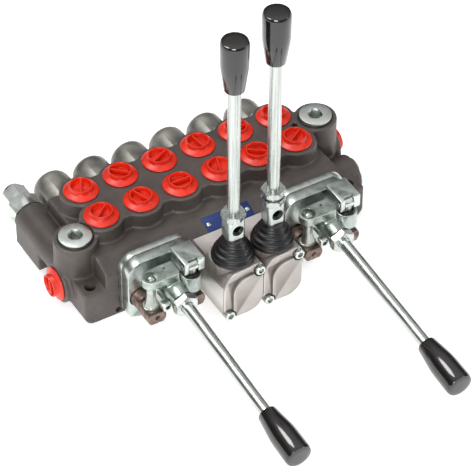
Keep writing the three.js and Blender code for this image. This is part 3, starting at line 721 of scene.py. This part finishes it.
def grip(axis, direction):
    """Tapered knob with its mouth at 0 and a flat, soft-edged end at 46, bored for the rod."""
    profile = [(0, 0), (7.3, 0), (7.8, 0.3), (8.1, 1), (10.3, 18), (10.75, 22), (10.9, 27), (10.95, 36),
               (10.9, 42.5), (10.6, 44.2), (9.9, 45.4), (8.8, 45.9), (6, 46.2), (0, 46.3)]
    knob = lathe(axis, [(radius, direction * t) for radius, t in profile])
    start, stop = sorted((-direction, 22 * direction))
    return carve(knob, bar(axis, 5.4, start, stop))


def phenolic():
    """Polished black phenolic: a hard gloss that keeps the windows of light sharp, over a very
    dark brown body."""
    made, tree, where = new_material("polished_phenolic")
    haze = add_node(tree, "TexNoise", None, Vector=where, Scale=1 / (16 * MM), Detail=3)
    tone = mixed(tree, haze.outputs[0], "#0b0909", "#181311")
    rough = spread(tree, haze.outputs[0], 0.1, 0.2, 0.3, 0.7)
    shader = add_node(tree, "BsdfPrincipled", None, Base_Color=tone, Roughness=rough)
    shader.inputs["Coat Weight"].default_value = 0.5
    shader.inputs["Coat Roughness"].default_value = 0.06
    output(tree, shader)
    return made


def brushed_rod(name, axis):
    """Bright drawn rod, zinc plated: long draw marks along it pull the highlights into streaks."""
    made, tree, where = new_material(name)
    stretch = add_node(tree, "Mapping", None, Vector=where)
    stretch.inputs["Scale"].default_value = (900, 25, 900) if axis == "y" else (900, 900, 25)
    drawn = add_node(tree, "TexNoise", None, Vector=stretch.outputs[0], Scale=1.0, Detail=5)
    tone = mixed(tree, spread(tree, drawn.outputs[0], 0, 1, 0.3, 0.7), "#a3a8a5", "#cfd3cf")
    rough = spread(tree, drawn.outputs[0], 0.18, 0.36, 0.3, 0.7)
    bump = add_node(tree, "Bump", None, Height=drawn.outputs[0], Strength=0.12, Distance=0.05 * MM)
    output(tree, add_node(tree, "BsdfPrincipled", None, Base_Color=tone, Metallic=1.0, Roughness=rough,
                          Normal=bump.outputs[0]))
    return made


cast_zinc = zinc_plating("zinc_plated_casting", "#8d9791", "#b8c1bb", 2.4)
level_rod = brushed_rod("drawn_level_rod", "y")
bakelite = phenolic()


def cross_lever(side, x, outer):
    lever, shaft = f"{side}_cross_lever", f"{side}_tilt_shaft"
    link = f"spool_{outer}_slide_body"
    node = f"{side}_cross_"
    nut = carve(hexagon("y", 18, -119, -113.3), bar("y", 5.3, -121, -112),
                lathe("y", [(9.2, -119.1), (10.6, -117.6), (10.6, -119.1)], sides=64))
    washer = carve(bar("y", 9.6, -113.3, -112.4), bar("y", 5.3, -114, -112))
    rod = lathe("y", [(0, -240), (5, -240), (5, -100), (0, -100)], sides=64)
    collar = lathe("z", [(4.4, 51.6), (6.2, 51.6), (6.6, 52.2), (6.2, 53), (4.4, 53.2)],
                   (LINK_X, PIVOT_Y, 0), 64)
    screw = soft_edges(block((-15.5, -110.5, 39), (-9, -104, 45.5)), 0.8, 2)
    carve(screw, bar("y", 1.9, -112, -107, (-12.25, 42.25), 32))
    fuse(screw, bar("y", 2.4, -105, -92, (-9.3, 43), 32))
    lower_nut = hexagon("z", 11, 16, 22.6, (-LINK_X, LINK_Y))
    washer_below = bar("z", 6.4, 33.3, 34.5, (-LINK_X, LINK_Y))
    rows = [
        (seal_plate(), "seal_plate", cast_zinc, "root", "seal_plate", "zinc_plate"),
        (lever_bracket(), "bracket", cast_zinc, "root", "lever_bracket", "zinc_plate"),
        (tilt_shaft(), "shaft", zinc, shaft, "tilt_shaft", "spool_steel"),
        (lever_casting(), "lever", cast_zinc, lever, "lever_casting", "zinc_plate"),
        (link_post(), "ball_link", zinc, link, "link_post", "zinc_plate"),
        (leaned(move(nut, (0, 0, BARREL_Z))), "lock_nut", zinc, lever, "rod_nut", "zinc_plate"),
        (leaned(move(rod, (0, 0, BARREL_Z))), "level_rod", level_rod, lever, "rod", "zinc_plate"),
        (leaned(move(grip("y", -1), (0, -236, BARREL_Z))), "grip", bakelite, lever, "knob", "knob_plastic"),
        # The washer is black rubber: the dark ring it draws between barrel and nut is partly a washer, partly
        # painted shade.
        (leaned(move(washer, (0, 0, BARREL_Z))), "lock_washer", rubber, lever, None, "boot_rubber"),
        (collar, "dust_ring", rubber, lever, None, "boot_rubber"),
        (screw, "stop_screw", zinc, lever, None, "zinc_plate"),
        (lower_nut, "link_nut", zinc, link, None, "zinc_plate"),
        (washer_below, "link_washer", zinc, link, None, "zinc_plate"),
    ]
    for piece, name, material, body, stands_for, slot in rows:
        nodes = [node + stands_for] if stands_for else []
        fit(shade(move(piece, (x, 0, 0))), f"{side}_{name}", material, body, *nodes, slot=slot)


cross_lever("left", -2 * PITCH, 1)
cross_lever("right", 2 * PITCH, 5)

# ---- Booted levers -------------------------------------------------------------------------
# Two upright levers. A cast housing with a screwed cover holds the pivot over the end of the
# spool, a rubber bellows seals it, and the lever's rod screws down into a forged eye block.

STICK_Y = -97.5
HOUSING_HALF = 17.2
FOOT_Z = 8
TOP_Z = 54
COVER_Y = -112


def blasted_aluminium():
    """Shot-blasted aluminium casting: warm grey and matt, with a fine even grain, and the sharp
    edges mixed almost white, partly wear and partly a painted highlight."""
    made, tree, where = new_material("shot_blasted_aluminium")
    shot = add_node(tree, "TexNoise", None, Vector=where, Scale=1 / (0.9 * MM), Detail=3, Roughness=0.6)
    cloud = add_node(tree, "TexNoise", None, Vector=where, Scale=1 / (18 * MM), Detail=4)
    edge = add_node(tree, "NewGeometry").outputs["Pointiness"]
    tone = mixed(tree, spread(tree, cloud.outputs[0], 0, 1, 0.35, 0.65), "#776f6a", "#8e8681")
    # Sharp edges are mixed toward almost white: partly wear, partly a painted highlight.
    edge_wear_and_highlight = mixed(tree, spread(tree, edge, 0, 0.8, 0.51, 0.57), tone, "#f0ece8")
    rough = spread(tree, shot.outputs[0], 0.42, 0.6, 0.3, 0.7)
    bump = add_node(tree, "Bump", None, Height=shot.outputs[0], Strength=0.25, Distance=0.12 * MM)
    output(tree, add_node(tree, "BsdfPrincipled", None, Base_Color=edge_wear_and_highlight, Metallic=0.7, Roughness=rough,
                          Normal=bump.outputs[0]))
    return made


def leaf(inset, big, small):
    """The housing's outline: large rounds at upper left and lower right, screw corners at the
    other two."""
    half, low, high = HOUSING_HALF - inset, FOOT_Z + inset, TOP_Z - inset
    return (arc(-half + small, low + small, small, 180, 270, 6)
            + arc(half - big, low + big, big, -90, 0, 12)
            + arc(half - small, high - small, small, 0, 90, 6)
            + arc(-half + big, high - big, big, 90, 180, 12))


SCREWS = ((-13.4, 13), (13.2, 49))
PAD_LOW = (-10.5, 10.5)
PAD_HIGH = (15.2, 47.5)
PAD_ROUND = 13
BOOT_FOOT = 55.3
EYE_Z = (77.5, 95.5)
EYE_HOLE_Z = 86.5
ROD_FOOT = 95.8


def lever_housing():
    shell = prism("y", leaf(0, 16, 4.5), COVER_Y, BODY_FRONT - 0.3)
    fuse(shell, bar("z", HOUSING_HALF, 22, 55, (0, STICK_Y + 3), 96))
    carve(shell, block((-18, STICK_Y + 17.2, 48), (18, BODY_FRONT + 1, 56)))
    soft_edges(shell, 0.8, 3, 35)
    carve(shell, block((-12, -115, 16), (12, -65, 40)))
    carve(shell, bar("z", 8, 33, 56, (0, STICK_Y)), bar("y", 8.4, -68, -59, (0, SPOOL_Z)))
    return shell


def housing_cover():
    cover = soft_edges(prism("y", leaf(0, 16, 4.5), -114.6, -112.3), 0.45, 2, 35)
    low, high, r = PAD_LOW, PAD_HIGH, PAD_ROUND
    outline = [low] + arc(high[0] - r, low[1] + r, r, -90, 0, 12)
    outline += [high] + arc(low[0] + r, high[1] - r, r, 90, 180, 12)
    pad = prism("y", outline, -117.4, -114)
    carve(pad, *[bar("y", 5.5, -120, -112, place) for place in SCREWS])
    fuse(cover, soft_edges(pad, 0.5, 2, 35))
    carve(cover, *[bar("y", 5, -116, -113.2, place) for place in SCREWS])
    return cover


def bellows(foot):
    outside = [
        (16.6, foot), (17, foot + 0.4), (17, foot + 3), (16.6, foot + 3.6), (15.3, foot + 4.1),
        (14.9, foot + 4.8), (15.5, foot + 5.5), (15.9, foot + 6.4), (15.6, foot + 7.2), (14.1, foot + 7.9),
        (12.7, foot + 8.6), (12.4, foot + 9.4), (13, foot + 10.1), (13.3, foot + 11), (13, foot + 11.8),
        (11.5, foot + 12.6), (10.3, foot + 13.3), (10, foot + 14.1), (10.5, foot + 14.8),
        (10.7, foot + 15.6), (10.4, foot + 16.4), (9, foot + 17.3), (8.2, foot + 18.2), (7.9, foot + 19.4),
        (7.9, foot + 20.8), (7.3, foot + 21.4), (5.9, foot + 21.6),
    ]
    inside = [(5.3, foot + 21.4), (5.3, foot + 19), (7.2, foot + 16), (9.5, foot + 12), (11.4, foot + 8),
              (12.6, foot + 4), (8.5, foot + 1.5), (8.5, foot)]
    return lathe("z", outside + inside, (0, STICK_Y, 0), 96)


def eye_block():
    half = 7.25
    chamfer = 2.2
    outline = [(-half, -half + chamfer), (-half + chamfer, -half), (half - chamfer, -half),
               (half, -half + chamfer), (half, half - chamfer), (half - chamfer, half),
               (-half + chamfer, half), (-half, half - chamfer)]
    piece = soft_edges(prism("z", outline, *EYE_Z), 0.6, 2, 30)
    carve(piece, bar("y", 4.8, -9, 4.5, (0, EYE_HOLE_Z), 64))
    fuse(piece, lathe("z", [(0, 23), (2.6, 23), (3, 23.6), (3, 46.5), (5, 47), (7, 52), (5, 57), (4.5, 58),
                            (4.5, 78.5), (0, 78.5)], sides=48))
    return move(piece, (0, STICK_Y, 0))


def eye_hole_shade_plug():
    """Black rubber cup filling the eye's hole: painted shade for the hole's dark inside."""
    return lathe("y", [(0, -0.5), (3, -1), (3.2, -5), (4.7, -5), (4.7, 4.4), (0, 4.4)],
                 (0, STICK_Y, EYE_HOLE_Z), 48)


def stick_rod(top, nuts):
    rod = lathe("z", [(0, ROD_FOOT), (5, ROD_FOOT), (5, top - 26), (0, top - 26)], sides=64)
    for start in nuts:
        nut = hexagon("z", 17, start, start + 5)
        for level, lip in ((start, -0.1), (start + 5, 0.1)):
            tip = 1.4 if lip < 0 else -1.4
            carve(nut, lathe("z", [(8.6, level + lip), (10.2, level + tip), (10.2, level + lip)], sides=64))
        fuse(rod, nut)
    return move(rod, (0, STICK_Y, 0))


aluminium = blasted_aluminium()
upright_rod = brushed_rod("drawn_upright_rod", "z")


def booted_lever(side, x, nuts):
    lever = f"{side}_stick_lever"
    node = f"{side}_stick_"
    top = side_of(node + "knob", "z", 1)
    rows = [
        (lever_housing(), "housing", aluminium, "root", "housing", "aluminium_cast"),
        (housing_cover(), "cover", aluminium, "root", "housing_cover", "aluminium_cast"),
        (eye_block(), "eye", cast_zinc, lever, "eye_block", "zinc_plate"),
        # The eye's hole is filled with black rubber: painted shade for its dark inside.
        (eye_hole_shade_plug(), "eye_hole_painted_shade", rubber, lever, None, "boot_rubber"),
        (stick_rod(top, nuts), "upright_rod", upright_rod, lever, "rod", "zinc_plate"),
        (move(grip("z", 1), (0, STICK_Y, top - 46)), "upright_grip", bakelite, lever, "knob", "knob_plastic"),
    ]
    for i, (sx, sz) in enumerate(SCREWS):
        screw = move(socket_screw("y", 4.2, 5.2, 4.4), turn=(0, 0, 180))
        rows.append((move(screw, (sx, -112.8, sz)), f"cover_screw_{i + 1}", zinc, "root", None, "zinc_plate"))
    for piece, name, material, body, stands_for, slot in rows:
        nodes = [node + stands_for] if stands_for else []
        fit(shade(move(piece, (x, 0, 0))), f"{side}_{name}", material, body, *nodes, slot=slot)
    boot = shade(move(bellows(BOOT_FOOT), (x, 0, 0)), 50)
    boot.name = boot.data.name = f"{side}_bellows"
    boot.data.materials.append(rubber)
    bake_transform(boot)
    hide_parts(node + "boot")


booted_lever("left", -PITCH / 2, (ROD_FOOT,))
booted_lever("right", PITCH / 2, (ROD_FOOT, ROD_FOOT + 8))

# ---- Stage --------------------------------------------------------------------------------
# A plain pale floor of white paper lit a little from below, soft studio light, and a long lens
# from the left and above.


def stage():
    floor_mesh = bpy.data.meshes.new("floor")
    reach = 6
    floor_mesh.from_pydata([(-reach, -reach, 0), (reach, -reach, 0), (reach, reach, 0), (-reach, reach, 0)],
                           [], [(0, 1, 2, 3)])
    floor = bpy.data.objects.new("floor", floor_mesh)
    bpy.context.scene.collection.objects.link(floor)
    made, tree, where = new_material("pale_paper")
    fibre = add_node(tree, "TexNoise", None, Vector=where, Scale=40.0)
    tone = mixed(tree, fibre.outputs[0], "#f6f6f6", "#fcfcfc")
    paper = add_node(tree, "BsdfPrincipled", None, Base_Color=tone, Roughness=0.9)
    paper.inputs["Emission Color"].default_value = (1, 1, 1, 1)
    paper.inputs["Emission Strength"].default_value = 0.45
    output(tree, paper)
    floor_mesh.materials.append(made)


def area_light(name, place, target, size, power):
    lamp = bpy.data.lights.new(name, "AREA")
    lamp.shape = "RECTANGLE"
    lamp.size, lamp.size_y = size
    lamp.energy = power
    holder = bpy.data.objects.new(name, lamp)
    bpy.context.scene.collection.objects.link(holder)
    holder.location = place
    holder.rotation_euler = (Vector(target) - Vector(place)).to_track_quat("-Z", "Y").to_euler()


def camera():
    azimuth, elevation, roll = (math.radians(a) for a in (31.12, 43.25, 0.59))
    distance = 2.196
    aim = Vector((13.4, -52.0, 27.0)) * MM
    look = Vector((math.sin(azimuth) * math.cos(elevation), math.cos(azimuth) * math.cos(elevation),
                   -math.sin(elevation)))
    lens = bpy.data.cameras.new("camera")
    lens.sensor_width = 36
    lens.lens = 212.2
    lens.clip_end = 50
    holder = bpy.data.objects.new("camera", lens)
    bpy.context.scene.collection.objects.link(holder)
    turn = look.to_track_quat("-Z", "Y").to_matrix().to_4x4() @ Matrix.Rotation(roll, 4, "Z")
    holder.matrix_world = Matrix.Translation(aim - distance * look) @ turn
    bpy.context.scene.camera = holder


def sky():
    """A studio of bright panels and dark gaps: white overhead, dark at the walls."""
    world = bpy.data.worlds.new("studio")
    bpy.context.scene.world = world
    world.use_nodes = True
    tree = world.node_tree
    tree.nodes.clear()
    where = add_node(tree, "TexCoord").outputs["Generated"]
    height = add_node(tree, "SeparateXYZ", None, Vector=where).outputs["Z"]
    ramp = add_node(tree, "ValToRGB", None, Fac=height)
    stops = ((0.0, 0.4), (0.12, 0.1), (0.45, 0.15), (0.62, 0.45), (0.8, 0.85), (1.0, 1.1))
    while len(ramp.color_ramp.elements) < len(stops):
        ramp.color_ramp.elements.new(0.5)
    for element, (place, level) in zip(ramp.color_ramp.elements, stops):
        element.position = place
        element.color = (level, level, level, 1)
    light = add_node(tree, "Background", None, Color=ramp.outputs[0], Strength=1.0)
    add_node(tree, "OutputWorld", None, Surface=light.outputs[0])


stage()
sky()
area_light("key_light", (-1.1, -1.5, 0.95), (0, 0, 0.03), (0.8, 0.5), 26)
area_light("top_light", (-0.5, 0.5, 1.6), (0, 0, 0.03), (0.6, 0.6), 13)
area_light("fill_light", (1.4, -1.1, 0.8), (0, 0, 0.03), (0.3, 0.9), 7)
bpy.context.scene.view_settings.view_transform = "Standard"
camera()
